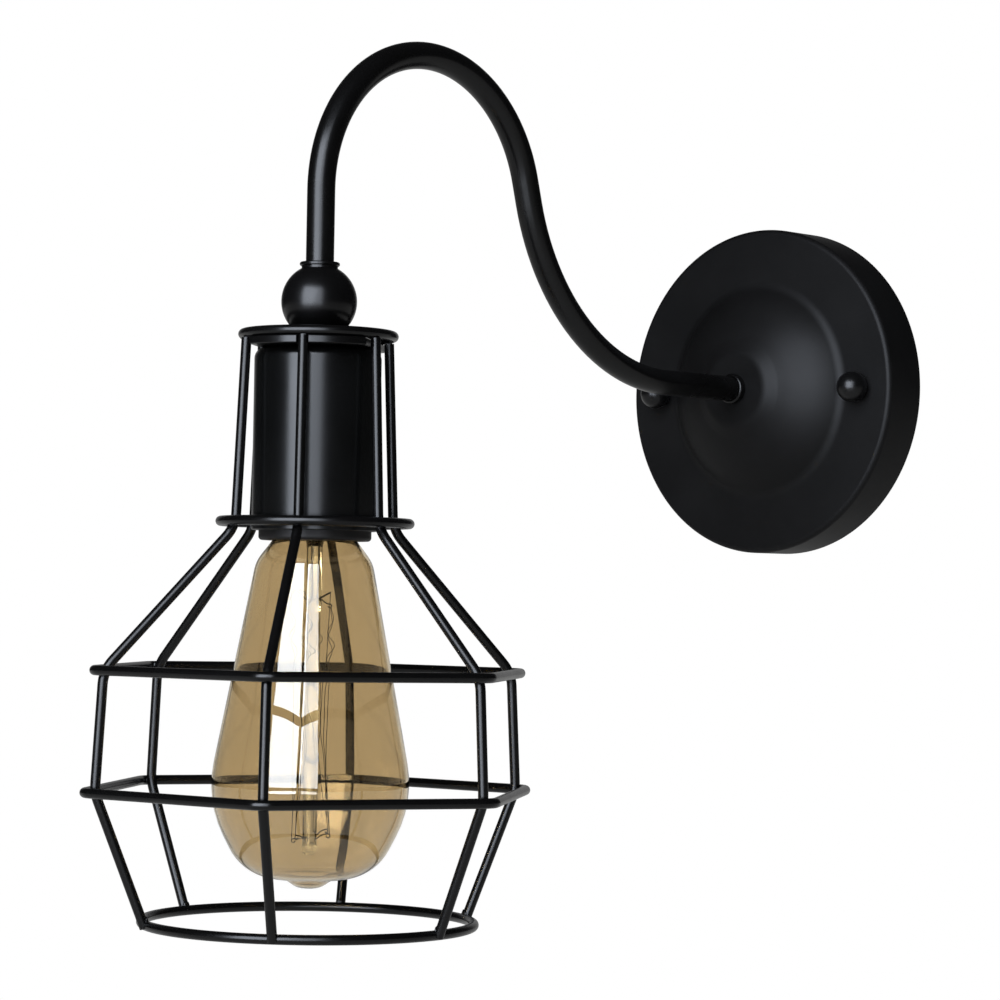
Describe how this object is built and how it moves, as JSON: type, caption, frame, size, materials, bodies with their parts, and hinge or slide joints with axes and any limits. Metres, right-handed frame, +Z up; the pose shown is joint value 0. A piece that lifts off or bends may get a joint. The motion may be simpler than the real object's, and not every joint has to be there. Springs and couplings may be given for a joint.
{
  "type": "wall light",
  "caption": "Gooseneck wall light with a round canopy, a bent tube arm and an open wire cage round a screw-in amber glass bulb.",
  "frame": {"origin": "on the wall, at the centre of the wall bracket's back face, which is on the canopy's axis", "axes": "+Y into the wall, so the lamp reaches out along -Y; +Z up; +X to the right seen from in front"},
  "size_m": [0.1496, 0.314, 0.289],
  "materials": {
    "black_powder": "satin",
    "zinc_steel": "satin",
    "brass": "satin",
    "black_phenolic": "gloss",
    "nickel_cap": "satin",
    "black_glass": "gloss",
    "amber_glass": "clear",
    "clear_glass": "clear",
    "filament": "matte",
    "brown_core": "matte",
    "blue_core": "matte",
    "earth_core": "matte",
    "white_nylon": "matte"
  },
  "bodies": {
    "fixture": {"wall_bracket": "zinc_steel", "bracket_studs": "zinc_steel", "earth_screw": "brass", "canopy": "black_powder", "ball_nuts": "black_powder", "arm_tube": "black_powder", "arm_collar": "black_powder", "arm_lock_washer": "zinc_steel", "arm_lock_nut": "zinc_steel", "ball_coupling": "black_powder", "nipple": "zinc_steel", "cage_top_ring": "black_powder", "cage_shoulder_ring": "black_powder", "cage_upper_ring": "black_powder", "cage_lower_ring": "black_powder", "cage_bottom_ring": "black_powder", "cage_wire_1": "black_powder", "cage_wire_2": "black_powder", "cage_wire_3": "black_powder", "cage_wire_4": "black_powder", "cage_wire_5": "black_powder", "cage_wire_6": "black_powder", "cage_strap": "black_powder", "socket_cup": "black_powder", "holder_bridge": "zinc_steel", "holder_lock_washer": "zinc_steel", "holder_lock_nut": "zinc_steel", "holder_body": "black_phenolic", "bridge_screws": "zinc_steel", "screw_shell": "brass", "centre_contact": "brass", "holder_terminals": "brass", "holder_terminal_screws": "zinc_steel", "live_core": "brown_core", "neutral_core": "blue_core", "earth_core": "earth_core", "terminal_block": "white_nylon", "terminal_block_screws": "zinc_steel"},
    "bulb_tip": {"bulb_tip_contact": "zinc_steel"},
    "bulb": {"bulb_cap_insulator": "black_glass", "bulb_cap": "nickel_cap", "bulb_glass": "amber_glass", "bulb_stem": "clear_glass", "bulb_leads": "zinc_steel", "bulb_supports": "zinc_steel", "bulb_filament": "filament"}
  },
  "joints": [
    {"name": "bulb_travel", "type": "slide", "parent": "fixture", "child": "bulb_tip", "axis": [0, 0, -1], "range_m": [0, 0.0255]},
    {"name": "bulb_turn", "type": "hinge", "parent": "bulb_tip", "child": "bulb", "pos_m": [0, -0.2455, -0.035], "axis": [0, 0, -1], "range_deg": [0, 2520]}
  ],
  "couplings": [
    {"joint": "bulb_travel", "follows": "bulb_turn", "m_per_rad": 0.00057757}
  ]
}
